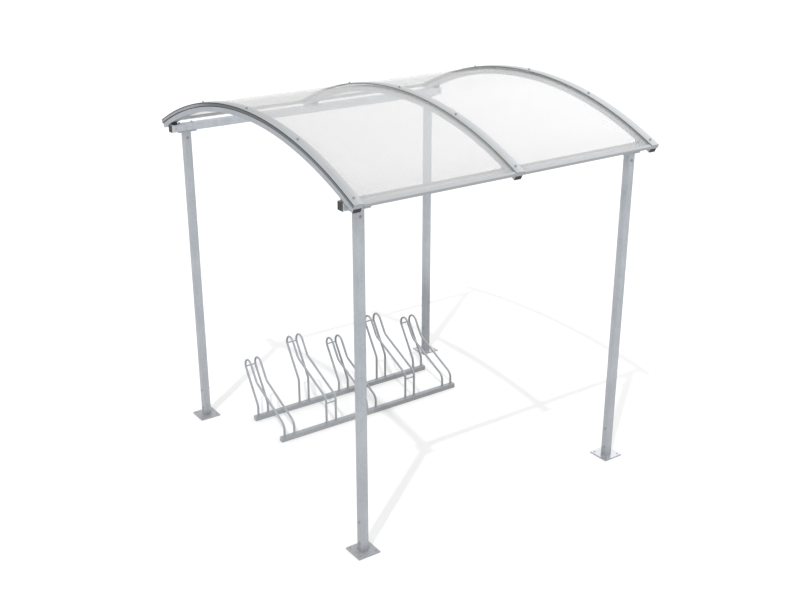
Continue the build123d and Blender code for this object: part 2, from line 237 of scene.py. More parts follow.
class Finish:
    """A node tree under construction, one call for each node.

    place is what its patterns read: Object coordinates, or for a world the direction.
    """

    def __init__(self, owner, reads="Object"):
        owner.use_nodes = True
        self.owner = owner
        self.tree = owner.node_tree
        self.tree.nodes.clear()
        self.place = self.node("ShaderNodeTexCoord", {}, {}, reads)

    def node(self, kind, settings, inputs, output=0):
        """Adds a node: its settings first, then the values or links of its sockets."""
        made = self.tree.nodes.new(kind)
        for name, value in settings.items():
            setattr(made, name, value)
        for key, value in inputs.items():
            socket = self.found(made.inputs, key)
            if isinstance(value, Value):
                self.tree.links.new(value.socket, socket)
            elif socket.type == "RGBA":
                socket.default_value = (*value, 1.0)
            else:
                socket.default_value = value
        return Value(self, self.found(made.outputs, output))

    @staticmethod
    def found(sockets, key):
        """The socket with that index, identifier or name."""
        if isinstance(key, int):
            return sockets[key]
        return next(s for s in sockets if key in (s.identifier, s.name))

    def blend(self, amount, low, high):
        """Colour from low to high as amount goes from 0 to 1."""
        inputs = {"Factor_Float": amount, "A_Color": low, "B_Color": high}
        return self.node("ShaderNodeMix", {"data_type": "RGBA"}, inputs, "Result_Color")

    def stretched(self, x, y, z):
        """Object coordinates times a factor on each axis."""
        inputs = {0: self.place, 1: (x, y, z)}
        return self.node("ShaderNodeVectorMath", {"operation": "MULTIPLY"}, inputs)

    def axis(self, letter):
        """One of the object coordinates."""
        return self.node("ShaderNodeSeparateXYZ", {}, {"Vector": self.place}, letter)

    def noise(self, place, scale, detail=2.0):
        """Soft noise from 0 to 1."""
        inputs = {"Vector": place, "Scale": scale, "Detail": detail}
        return self.node("ShaderNodeTexNoise", {}, inputs, "Fac")

    def crystals(self, size):
        """One random number for each crystal of the given size."""
        inputs = {"Vector": self.place, "Scale": 1.0 / size}
        cell = self.node("ShaderNodeTexVoronoi", {}, inputs, "Color")
        return self.node("ShaderNodeSeparateColor", {}, {"Color": cell}, "Red")

    def between(self, value, start, end):
        """Smooth step from 0 at start to 1 at end."""
        settings = {"interpolation_type": "SMOOTHSTEP"}
        inputs = {"Value": value, "From Min": start, "From Max": end}
        return self.node("ShaderNodeMapRange", settings, inputs, "Result")

    def topside(self):
        """1 on faces that look up and 0 on upright ones, from the Z of their normal."""
        normal = self.node("ShaderNodeTexCoord", {}, {}, "Normal")
        upward = self.node("ShaderNodeSeparateXYZ", {}, {"Vector": normal}, "Z")
        return self.between(upward, 0.3, 0.8)

    def bump(self, height, depth):
        """Normal of a surface raised by height, from 0 to 1, times depth in metres."""
        return self.node("ShaderNodeBump", {}, {"Height": height, "Distance": depth}, "Normal")

    def mixed(self, amount, first, second):
        """Shader from first to second as amount goes from 0 to 1."""
        inputs = {"Fac": amount, "Shader": first, "Shader_001": second}
        return self.node("ShaderNodeMixShader", {}, inputs, "Shader")

    def principled(self, inputs):
        """Shader of a solid surface."""
        return self.node("ShaderNodeBsdfPrincipled", {}, inputs, "BSDF")

    def done(self, shader, kind="ShaderNodeOutputMaterial"):
        """The finished owner, with shader as its surface."""
        output = self.tree.nodes.new(kind)
        self.tree.links.new(shader.socket, output.inputs["Surface"])
        return self.owner


# ---- finishes
def times(factor, tone):
    """A colour with each of its parts times a factor."""
    return tuple(factor * part for part in tone)


def zinc(metal, name, age, painted_shade_top=None, darkened=None, highlit_smooth_top=False):
    """Zinc-coated steel: cloudy grey with faint crystals, run marks down the piece, splashed dirt near
    the ground and a coat that gets darker towards the bottom.

    A newer coat has an age near 1, and an older, duller one has less. A top face at a given height
    gets painted shade in the dirt colour. An axis with the places where a darkening starts and is
    full makes upright faces darker: painted shade on the posts, a plain darkening on the rack. With a
    smooth top the faces that look up are clean and mirror what stands on them, and their lighter
    colour is a painted highlight.
    """
    f = Finish(bpy.data.materials.new(name))
    cloud = f.noise(f.place, 7.0, detail=4.0)
    runs = f.noise(f.stretched(55.0, 55.0, 2.2), 1.0, detail=3.0)
    crystal = f.crystals(metal.spangle)
    fine = f.noise(f.place, 700.0)
    height = f.axis("Z")
    tone = f.between(cloud * 0.5 + runs * 0.32 + crystal * 0.18, 0.30, 0.70)
    coat = f.blend(tone, times(age, metal.zinc_dark), times(age, metal.zinc_light))
    # upright faces darker along an axis: painted shade on the posts, a plain darkening on the rack
    if darkened:
        letter, start, full = darkened
        darker_share = f.between(f.axis(letter), start, full) * (1.0 - f.topside())
        coat = f.blend(darker_share * metal.darkening, coat, BLACK)
    blotches = f.between(f.noise(f.place, 38.0, detail=4.0), 0.35, 0.75)
    splashes = f.between(height, metal.splash_height, 0.0) * blotches
    # splashed dirt near the ground, plus a darkening towards the bottom
    dust = splashes * 0.25 + f.between(height, metal.darker_below, 0.0) * 0.18
    if painted_shade_top:
        # painted shade: the front rail's top face darkened in the dirt colour, where the roof sheets'
        # front edge shades it
        painted_sheet_shade = f.between(height, painted_shade_top - 0.0015, painted_shade_top - 0.0002)
        dust = dust + painted_sheet_shade * (0.75 + cloud * 0.4)
    rough = 0.38 + crystal * 0.10 + cloud * 0.12
    shine = 0.55
    if highlit_smooth_top:
        # painted highlight: top faces take the lighter colour; they are also cleaner, smoother and
        # shinier
        smooth = f.topside()
        coat = f.blend(smooth, coat, metal.smooth)
        dust = dust * (1.0 - smooth)
        rough = rough - smooth * 0.32
        shine = smooth * 0.2 + shine
    inputs = {
        "Base Color": f.blend(dust, coat, metal.grime_and_shade),
        "Metallic": shine - dust * 0.4,
        "Roughness": rough,
        "Normal": f.bump(fine * 0.6 + crystal * 0.4, depth=0.00012),
    }
    return f.done(f.principled(inputs))


def extruded_aluminium(name, tone, stretch, shine, top_shade=0.0):
    """Extruded aluminium with faint die lines, which run where stretch is small.

    Its last argument darkens its top faces as painted shade and makes them less shiny.
    """
    f = Finish(bpy.data.materials.new(name))
    lines = f.noise(f.stretched(*stretch), 1.0)
    cloud = f.noise(f.place, 9.0, detail=3.0)
    surface = f.blend(f.between(lines * 0.5 + cloud * 0.5, 0.3, 0.7), times(0.92, tone), tone)
    # painted shade: top faces take a darker colour; they are also less shiny
    if top_shade:
        darker_share = f.topside() * (cloud * 0.4 + 0.8) * top_shade
        surface = f.blend(darker_share, surface, times(0.55, tone))
        shine = shine - darker_share * shine
    inputs = {
        "Base Color": surface,
        "Metallic": shine,
        "Roughness": 0.26 + lines * 0.16,
        "Normal": f.bump(lines, depth=0.00006),
    }
    return f.done(f.principled(inputs))


def bolt_steel(metal):
    """Dull bolt steel with a fine mottle of lighter spots."""
    f = Finish(bpy.data.materials.new("bolt_steel"))
    mottle = f.noise(f.place, 420.0, detail=3.0)
    inputs = {
        "Base Color": f.blend(f.between(mottle, 0.3, 0.7), metal.fastener, times(1.5, metal.fastener)),
        "Metallic": 0.8,
        "Roughness": 0.34 + mottle * 0.14,
        "Normal": f.bump(mottle, depth=0.0001),
    }
    return f.done(f.principled(inputs))


def grained(f, surface, patch, roughness, grain, shine):
    """The finish f as rubber or plastic with a fine grain, rougher where patch is high."""
    inputs = {
        "Base Color": surface,
        "Roughness": roughness + patch * 0.15,
        "Specular IOR Level": shine,
        "Normal": f.bump(f.noise(f.place, grain), depth=0.00015),
    }
    return f.done(f.principled(inputs))


def moulded(name, tone, roughness, grain, shine=0.5):
    """Moulded rubber or plastic: one colour with a fine grain and dull patches."""
    f = Finish(bpy.data.materials.new(name))
    patch = f.noise(f.place, 30.0, detail=3.0)
    paler = tuple(min(1.0, 1.6 * part + 0.015) for part in tone)
    surface = f.blend(f.between(patch, 0.35, 0.8) * 0.5, tone, paler)
    return grained(f, surface, patch, roughness, grain, shine)


def gasket_rubber(roof, outer):
    """Rubber of the gaskets: black past |x| = outer, and grey with blotches beside the sheets as
    painted light, for the light that comes through them.
    """
    f = Finish(bpy.data.materials.new("gasket_rubber"))
    patch = f.noise(f.place, 30.0, detail=3.0)
    # painted light: grey beside the sheets
    paler = f.between(abs(f.axis("X")), outer, outer - 0.01) * (patch * 0.4 + 0.8)
    surface = f.blend(paler, roof.rubber, roof.sheet_lit_rubber)
    return grained(f, surface, patch, roughness=0.6, grain=500.0, shine=0.3)


def web_line(roof, f):
    """1 over each web of a sheet and 0 between: half a raised cosine of X, cubed."""
    turn = 2.0 * math.pi / roof.flute_pitch
    wave = ((f.axis("X") - roof.flute_start) * turn).cosine()
    return (wave * 0.5 + 0.5) ** 3.0


def twin_wall(roof, name, side, middle):
    """Clear twin-wall sheet: its outer edge stands at |x| = side and its middle at x = middle.

    Each skin lets part of the light straight through and scatters the rest, more of it over a web
    and towards the weathered left end, where its front is worst. The right end has painted shade
    along the crown. The outer edge is closed and dark, lighter at the rear as painted light, and a
    little lighter at the front.
    """
    f = Finish(bpy.data.materials.new(name))
    x, y = f.axis("X"), f.axis("Y")
    web = web_line(roof, f)
    cloud = f.noise(f.place, 5.0, detail=4.0)
    left = x * (-0.5 / side) + 0.5
    weathered = left * (1.0 - f.between(y, 0.0, 0.45) * 0.65)
    # painted shade along the crown at the right end
    crown_shade = (1.0 - left) * f.between(abs(y - 0.06), 0.45, 0.10)
    darkness = (weathered + crown_shade) * roof.weathering
    between_webs = f.blend(darkness, roof.sheet_light, BLACK)
    over_webs = f.blend(darkness, roof.sheet_dark, BLACK)
    shut = f.between(abs(x), side - 0.0012, side - 0.0002)
    # painted light: the closed side lighter towards the rear; a little lighter towards the front
    side_lighter = f.between(y, 0.35, 0.75) + f.between(y, -0.1, -1.1) * 0.28
    edge = f.blend(side_lighter, roof.side_dark, roof.side_light)
    inputs = {
        "Base Color": f.blend(shut, f.blend(web, between_webs, over_webs), edge),
        "Roughness": 0.30 + cloud * 0.10,
        "Normal": f.bump(web, depth=0.0002),
    }
    matt = f.principled(inputs)
    lit = 1.0 - roof.weathering * (0.5 - 0.5 * middle / side)
    glow_inputs = {"Color": times(lit, roof.sheet_light)}
    glow = f.node("ShaderNodeBsdfTranslucent", {}, glow_inputs, "BSDF")
    body = f.mixed(0.35 - shut * 0.35, matt, glow)
    clear = f.node("ShaderNodeBsdfTransparent", {}, {"Color": WHITE}, "BSDF")
    cover = (1.0 - roof.clearness) + weathered * roof.haze + web * roof.web_cover
    return f.done(f.mixed(cover + (cloud - 0.5) * 0.03 + shut, clear, body))


def pale_floor(stage):
    """Pale matt floor with a trace of unevenness."""
    f = Finish(bpy.data.materials.new("pale_floor"))
    cloud = f.noise(f.place, 1.5, detail=3.0)
    inputs = {
        "Base Color": f.blend(cloud, times(0.985, stage.floor_colour), stage.floor_colour),
        "Roughness": 0.9,
        "Specular IOR Level": 0.0,
    }
    return f.done(f.principled(inputs))


# ---- meshes
def volume(points, faces):
    """Signed volume inside closed faces: the sum of v0 . (vi x vi+1) / 6 over each face's fan."""
    total = 0.0
    for corners in faces:
        p = points[corners]
        fan = np.cross(p[:, 1:-1], p[:, 2:])
        total += float(np.einsum("ik,ijk->", p[:, 0], fan)) / 6.0
    return total


def closed(points, faces):
    """A shell as (points, faces), its faces turned outwards. faces is a list of index arrays."""
    points = np.asarray(points, float).reshape(-1, 3)
    if volume(points, faces) < 0:
        faces = [corners[:, ::-1] for corners in faces]
    return points, faces


def quads(index, wrap_rows=False, wrap_columns=False):
    """Quads between neighbours in a grid of point numbers."""
    if wrap_rows:
        index = np.vstack([index, index[:1]])
    if wrap_columns:
        index = np.hstack([index, index[:, :1]])
    corners = (index[:-1, :-1], index[1:, :-1], index[1:, 1:], index[:-1, 1:])
    return np.stack([c.ravel() for c in corners], 1)


def slab(front, back):
    """Closed shell between two grids of points, with a wall round their shared border."""
    rows, columns = front.shape[:2]
    near = np.arange(rows * columns).reshape(rows, columns)
    far = near + rows * columns
    border = np.concatenate([near[0, :-1], near[:-1, -1], near[-1, :0:-1], near[:0:-1, 0]])
    wall = np.stack([border, np.roll(border, -1)], 0)
    rim = np.stack([wall[0], wall[1], wall[1] + rows * columns, wall[0] + rows * columns], 1)
    points = np.concatenate([front.reshape(-1, 3), back.reshape(-1, 3)])
    return closed(points, [quads(near), quads(far)[:, ::-1], rim[:, ::-1]])


def stack(rings):
    """Closed shell through rings of points, with a flat face on the first and on the last."""
    count, sides = rings.shape[:2]
    index = np.arange(count * sides).reshape(count, sides)
    return closed(rings, [quads(index, wrap_columns=True), index[:1], index[-1:, ::-1]])


def hoop(rings):
    """Closed shell through rings that join up end to end, as on a torus."""
    count, sides = rings.shape[:2]
    index = np.arange(count * sides).reshape(count, sides)
    return closed(rings, [quads(index, wrap_rows=True, wrap_columns=True)])


def turned(profile, sides, across_flats=None):
    """Rings about +Z through (radius, height) pairs.

    With across_flats a ring's radius is the lesser of the pair's and a hexagon's,
    a / (2 cos t), where t is the angle from the middle of the nearest flat.
    """
    radius, height = np.asarray(profile, float).T
    turn = np.arange(sides) * 2.0 * np.pi / sides
    reach = np.repeat(radius[:, None], sides, 1)
    if across_flats:
        half_flat = np.pi / 6.0
        from_flat = (turn + half_flat) % (2.0 * half_flat) - half_flat
        reach = np.minimum(reach, across_flats / 2.0 / np.cos(from_flat))
    level = np.repeat(height[:, None], sides, 1)
    return np.stack([reach * np.cos(turn), reach * np.sin(turn), level], -1)


def settled(shell, origin, axis, along=(1.0, 0.0, 0.0)):
    """The shell with its +Z turned to axis, its +X towards along, and moved to origin."""
    points, faces = shell
    up = np.asarray(axis, float) / np.linalg.norm(axis)
    side = np.asarray(along, float) - np.dot(along, up) * up
    side /= np.linalg.norm(side)
    turn = np.stack([side, np.cross(up, side), up])
    return points @ turn + np.asarray(origin, float), faces


def make_piece(name, shells, material, replaces=()):
    """One object from closed shells, smooth but for its sharp edges, riding on the frame."""
    points, faces, start = [], [], 0
    for shell_points, shell_faces in shells:
        points.append(shell_points)
        for corners in shell_faces:
            faces.extend((corners + start).tolist())
        start += len(shell_points)
    mesh = bpy.data.meshes.new(name)
    mesh.from_pydata(np.concatenate(points).tolist(), [], faces)
    mesh.polygons.foreach_set("use_smooth", np.ones(len(mesh.polygons), bool))
    mesh.update()
    mesh.set_sharp_from_angle(angle=SHARP_EDGE)
    mesh.materials.append(material)
    piece = bpy.data.objects.new(name, mesh)
    bpy.context.scene.collection.objects.link(piece)
    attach(piece, BODY)
    if replaces:
        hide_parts(*replaces)
    return piece


def dress(material, *nodes):
    """Gives CAD nodes a finish."""
    for name in nodes:
        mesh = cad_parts[name].data
        mesh.materials.clear()
        mesh.materials.append(material)


# ---- places from the frame
def points_of(node):
    """All corners of a CAD node's mesh."""
    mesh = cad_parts[node].data
    flat = np.zeros(3 * len(mesh.vertices), np.float32)
    mesh.vertices.foreach_get("co", flat)
    return flat.reshape(-1, 3).astype(float)


def centre_of(node):
    """Middle of a CAD node's box."""
    low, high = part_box(node)
    return (low + high) / 2.0


def roof_axis():
    """Height of the line that the roof is curved about.

    A bar's crown stands s above its end corners, which lie h out: the radius is
    (h^2 + s^2) / (2 s), and the axis lies that far below the crown.
    """
    bar = points_of("glazing_bar_middle")
    crown = bar[:, 2].max()
    out = np.abs(bar[:, 1]).max()
    end = bar[np.abs(bar[:, 1]) > out - 0.1 * CONTACT][:, 2].max()
    sagitta = crown - end
    return crown - (out**2 + sagitta**2) / (2.0 * sagitta)


ROOF_AXIS = roof_axis()


class Band:
    """A curved roof member: its x range, inner and outer radius, and half its angle."""

    def __init__(self, node):
        x, y, z = points_of(node).T
        radius = np.hypot(y, z - ROOF_AXIS)
        self.x = (x.min(), x.max())
        self.inner = radius.min()
        self.outer = radius.max()
        self.half = np.abs(np.arctan2(y, z - ROOF_AXIS)).max()
        self.middle = (x.min() + x.max()) / 2.0


def roof_surface(x, radius, turn):
    """Points (x, r sin t, axis + r cos t) over the roof, t from the crown and positive to the rear."""
    x, radius, turn = np.broadcast_arrays(x, radius, turn)
    return np.stack([x, radius * np.sin(turn), ROOF_AXIS + radius * np.cos(turn)], -1)


# ---- fixings
def hexagon(fix, high, cuts):
    """Hexagon cut by cones. cuts holds (share of its corners' radius, share of its height) pairs."""
    corner = fix.across_flats * HEXAGON_CORNER
    profile = [(corner * out, high * up) for out, up in cuts]
    return stack(turned(profile, ROUND, fix.across_flats))


def bolt_head(fix):
    """Hexagon head, cone-cut at its top."""
    return hexagon(fix, fix.head_height, ((1.0, 0.0), (1.0, 0.78), (0.94, 0.88), (0.80, 1.0)))


def nut(fix):
    """Hexagon nut, cone-cut at both faces."""
    return hexagon(fix, fix.nut_height, ((0.84, 0.0), (1.0, 0.14), (1.0, 0.84), (0.82, 1.0)))


def washer(fix):
    """Flat washer with a rounded upper edge, drawn as a disc because its bolt fills the hole."""
    radius, thick = fix.washer / 2.0, fix.washer_thickness
    return stack(turned([(radius, 0.0), (radius, thick * 0.8), (radius * 0.96, thick)], ROUND))


def thread_tip(fix, base):
    """End of a bolt: threads as rings of two radii, then a cone."""
    rings, sides = 9, 16
    radius = fix.bolt / 2.0
    root, blunt = radius * 0.86, radius * 0.7
    crests = [(radius if i % 2 else root, base + i * fix.thread / 2.0) for i in range(rings)]
    return stack(turned(crests + [(blunt, base + fix.tip)], sides))


def side_of(axis):
    """A level direction that isn't the axis."""
    return (0.0, 1.0, 0.0) if abs(axis[0]) > 0.5 else (1.0, 0.0, 0.0)


def on_washer(fix, shells, origin, axis):
    """A washer at a point of a face with shells standing on it, all facing along the axis."""
    at = np.asarray(origin, float)
    rise = np.asarray(axis, float) * fix.washer_thickness
    along = side_of(axis)
    standing = [settled(shell, at + rise, axis, along) for shell in shells]
    return [settled(washer(fix), at, axis, along), *standing]


def bolted(fix, origin, axis):
    """Bolt head on its washer."""
    return on_washer(fix, [bolt_head(fix)], origin, axis)


def nutted(fix, origin, axis):
    """Nut on its washer with the bolt's tip standing out of it."""
    return on_washer(fix, [nut(fix), thread_tip(fix, fix.nut_height * 0.9)], origin, axis)


def domed(fix, radius, height, origin, axis):
    """Domed head on its washer: radius r cos t at height h sin t, cut off flat near the top."""
    rings, last = 9, 0.45 * math.pi
    turn = np.linspace(0.0, last, rings)
    dome = np.stack([radius * np.cos(turn), height * np.sin(turn)], 1)
    return on_washer(fix, [stack(turned(dome, ROUND))], origin, axis)


def ring_bead(centre, radius, bead):
    """Weld bead round a leg: a circle of radius b (1 + c sin(n u)) carried round it."""
    steps, sides, ripples = 48, 10, 16
    outset, lift = bead * 0.25, bead * 0.15
    around = np.arange(steps) * 2.0 * np.pi / steps
    section = np.arange(sides) * 2.0 * np.pi / sides
    swell = bead * (1.0 + RIPPLE * np.sin(ripples * around))[:, None]
    out = radius + outset + swell * np.cos(section)
    rise = lift + swell * np.sin(section)
    rings = np.stack([out * np.cos(around)[:, None], out * np.sin(around)[:, None], rise], -1)
    points, faces = hoop(rings)
    return points + np.asarray(centre, float), faces


def straight_bead(start, end, bead):
    """Weld bead along a line: circles of radius b (1 + c sin(n t)), narrowed at both ends."""
    rings, sides = 33, 10
    end_share, widening, ripples = 0.35, 12.0, 4.0
    start, end = np.asarray(start, float), np.asarray(end, float)
    run = end - start
    reach = np.linalg.norm(run)
    t = np.linspace(0.0, 1.0, rings)
    narrowed = np.minimum(1.0, end_share + widening * np.minimum(t, 1.0 - t))
    swell = bead * (1.0 + RIPPLE * np.sin(t * reach / bead * ripples)) * narrowed
    rod = stack(turned(np.stack([swell, t * reach], 1), sides))
    return settled(rod, start, run, (0.0, 0.0, 1.0))


# ---- operators
class SHELTER_OT_frame_finish(Operator):
    """Zinc coat on the posts, feet, heads, rails, arches and brackets"""

    bl_idname = "shelter.frame_finish"
    bl_label = "Frame finish"

    def execute(self, context):
        metal = context.scene.shelter_metal
        rail_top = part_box("rail_front")[1].z
        # painted contact shadow: upright faces of the posts darker in the last 65 mm above the ground
        tubes = zinc(metal, "zinc_tubes", age=1.05, darkened=("Z", 0.065, 0.0))
        # painted shade: upright faces of the rear right post darker below 0.85 m, full below 0.45 m
        post_painted_shade = zinc(metal, "zinc_post_painted_shade", age=1.05, darkened=("Z", 0.85, 0.45))
        rails = {
            # painted shade on its top face, and painted light: its coat is lighter than the rear
            # rail's to make up for the shade of the sheets' front edge
            "front": zinc(metal, "zinc_rail_front", age=1.42, painted_shade_top=rail_top),
            "rear": zinc(metal, "zinc_rail_rear", age=1.24),
        }
        plates = {
            "left": zinc(metal, "zinc_plates_left", age=0.85),
            # painted shade: the darker coat shows on the plates' upright faces, in their bolt holes
            # and on their edges, with a painted highlight on top
            "right": zinc(metal, "zinc_plates_right", age=0.64, highlit_smooth_top=True),
        }
        arches = zinc(metal, "zinc_arches", age=1.0)
        for row in ROWS:
            dress(rails[row], f"rail_{row}")
            for side in ENDS:
                dress(tubes, f"post_{row}_{side}", f"head_{row}_{side}")
                dress(plates[side], f"foot_{row}_{side}")
        dress(post_painted_shade, "post_rear_right")
        dress(arches, "arch_brackets", *(f"arch_{side}" for side in SIDES))
        return {"FINISHED"}


class SHELTER_OT_roof_sheets(Operator):
    """Twin-wall roof sheets with a dip in each skin at every web"""

    bl_idname = "shelter.roof_sheets"
    bl_label = "Roof sheets"

    def execute(self, context):
        roof = context.scene.shelter_roof
        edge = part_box("roof_sheet_right")[1].x
        for side in ENDS:
            node, name = f"roof_sheet_{side}", f"twin_wall_sheet_{side}"
            band = Band(node)
            material = twin_wall(roof, name, edge, band.middle)
            shells = [self.sheet(roof, band)]
            piece = make_piece(name, shells, material, replaces=[node])
            piece.visible_shadow = False
        return {"FINISHED"}

    @staticmethod
    def sheet(roof, band):
        """Skins at the band's radii, each dipping by relief times the web line at x."""
        per_flute, rows = 6, 65
        columns = int(round((band.x[1] - band.x[0]) / roof.flute_pitch * per_flute)) + 1
        x = np.linspace(*band.x, columns)[None, :]
        turn = np.linspace(-band.half, band.half, rows)[:, None]
        line = (0.5 + 0.5 * np.cos(2.0 * np.pi * (x - roof.flute_start) / roof.flute_pitch)) ** 3
        top = roof_surface(x, band.outer - roof.flute_relief * line, turn)
        underside = roof_surface(x, band.inner + roof.flute_relief * line, turn)
        return slab(top, underside)


class SHELTER_OT_glazing_bars(Operator):
    """Bars over the sheets and the tabs on their ends, with the edge profiles and the gaskets"""

    bl_idname = "shelter.glazing_bars"
    bl_label = "Glazing bars"

    def execute(self, context):
        metal, roof = context.scene.shelter_metal, context.scene.shelter_roof
        along, across = (900.0, 2.0, 2.0), (2.0, 900.0, 900.0)
        aluminium = extruded_aluminium("bar_aluminium", metal.aluminium, along, shine=0.9)
        # painted shade on the profiles' top faces
        profile = extruded_aluminium(
            "profile_aluminium", metal.profile, across, shine=0.7, top_shade=0.42
        )
        pads = moulded("pad_rubber", roof.rubber, roughness=0.6, grain=500.0, shine=0.3)
        # painted light on the gaskets beside the sheets
        gaskets = gasket_rubber(roof, Band("arch_right").middle)
        dress(profile, "edge_profiles_front", "edge_profiles_rear")
        dress(pads, "arch_pads")
        dress(gaskets, *(f"gaskets_{side}" for side in SIDES))
        for side in SIDES:
            node = f"glazing_bar_{side}"
            shells = [self.bar(Band(node))]
            make_piece(f"crowned_{node}", shells, aluminium, replaces=[node])
            make_piece(f"{node}_tabs", self.tabs(side), profile)
        return {"FINISHED"}

    @staticmethod
    def bar(band):
        """Bar with a crowned top, rounded edges and two grooves.

        Across the bar, w from -1 to 1, its top lies lower by c w^2, by e ((|w| - 0.9) / 0.1)^2
        past 0.9, and by g exp(-((|w| - 0.45) / 0.05)^2) in the groove on each side of the screws.
        """
        columns, rim_columns, rows = 41, 7, 97
        crown, edge, groove = 0.0016, 0.0004, 0.0003
        rim_width, groove_place, groove_width = 0.1, 0.45, 0.05
        rim = np.linspace(0.88, 1.0, rim_columns)
        across = np.unique(np.concatenate([np.linspace(-1.0, 1.0, columns), rim, -rim]))
        x = (band.middle + across * (band.x[1] - band.x[0]) / 2.0)[None, :]
        turn = np.linspace(-band.half, band.half, rows)[:, None]
        w = np.abs(across)[None, :]
        past_rim = np.clip((w - 1.0 + rim_width) / rim_width, 0.0, 1.0)
        in_groove = np.exp(-(((w - groove_place) / groove_width) ** 2))
        fall = crown * w**2 + edge * past_rim**2 + groove * in_groove
        return slab(roof_surface(x, band.outer - fall, turn), roof_surface(x, band.inner, turn))

    @staticmethod
    def tabs(side):
        """Plates turned down from a bar's ends to the arch, over the ends of the sheets."""
        bar, arch = Band(f"glazing_bar_{side}"), Band(f"arch_{side}")
        thick, columns, rows = 0.0012, 9, 5
        x = np.linspace(*bar.x, columns)[None, :]
        radius = np.linspace(arch.outer, bar.inner, rows)[:, None]
        near = roof_surface(x, radius, bar.half)
        away = np.array([0.0, math.cos(bar.half), -math.sin(bar.half)]) * thick
        return [slab(near, near + away), slab(near * (1, -1, 1), (near + away) * (1, -1, 1))]


class SHELTER_OT_roof_screws(Operator):
    """Hexagon screws with washers and rubber seals down the glazing bars"""

    bl_idname = "shelter.roof_screws"
    bl_label = "Roof screws"

    # (radius, height above the bar) pairs
    SEAL = ((0.0080, -0.0004), (0.0080, 0.0008), (0.0076, 0.0012))
    FLANGE = ((0.0078, 0.0008), (0.0078, 0.0014), (0.0066, 0.0024), (0.0052, 0.0027))
    HEXAGON = ((0.0058, 0.0020), (0.0058, 0.0064), (0.0054, 0.0070), (0.0046, 0.0074))
    ACROSS_FLATS = 0.010

    def execute(self, context):
        scene = context.scene
        seal = stack(turned(self.SEAL, ROUND))
        flange = stack(turned(self.FLANGE, ROUND))
        head = stack(turned(self.HEXAGON, ROUND, self.ACROSS_FLATS))
        heads, seals = [], []
        for side in SIDES:
            band = Band(f"glazing_bar_{side}")
            for turn in self.angles(band):
                seat = roof_surface(band.middle, band.outer, turn)
                normal = (0.0, math.sin(turn), math.cos(turn))
                seals.append(settled(seal, seat, normal))
                heads.append(settled(flange, seat, normal))
                heads.append(settled(head, seat, normal))
        steel = bolt_steel(scene.shelter_metal)
        rubber = moulded("seal_rubber", scene.shelter_roof.rubber, roughness=0.6, grain=700.0)
        make_piece("roof_screw_heads", heads, steel, replaces=["roof_screws"])
        make_piece("roof_screw_seals", seals, rubber)
        return {"FINISHED"}

    @staticmethod
    def angles(band):
        """Angles of one bar's screws: those of the screw node's highest points near the bar."""
        near, apart = 0.02, 0.05
        x, y, z = points_of("roof_screws").T
        radius = np.hypot(y, z - ROOF_AXIS)
        tops = (radius > radius.max() - CONTACT) & (np.abs(x - band.middle) < near)
        turn = np.sort(np.arctan2(y, z - ROOF_AXIS)[tops])
        groups = np.split(turn, np.nonzero(np.diff(turn) > apart)[0] + 1)
        return [float((group.min() + group.max()) / 2.0) for group in groups]


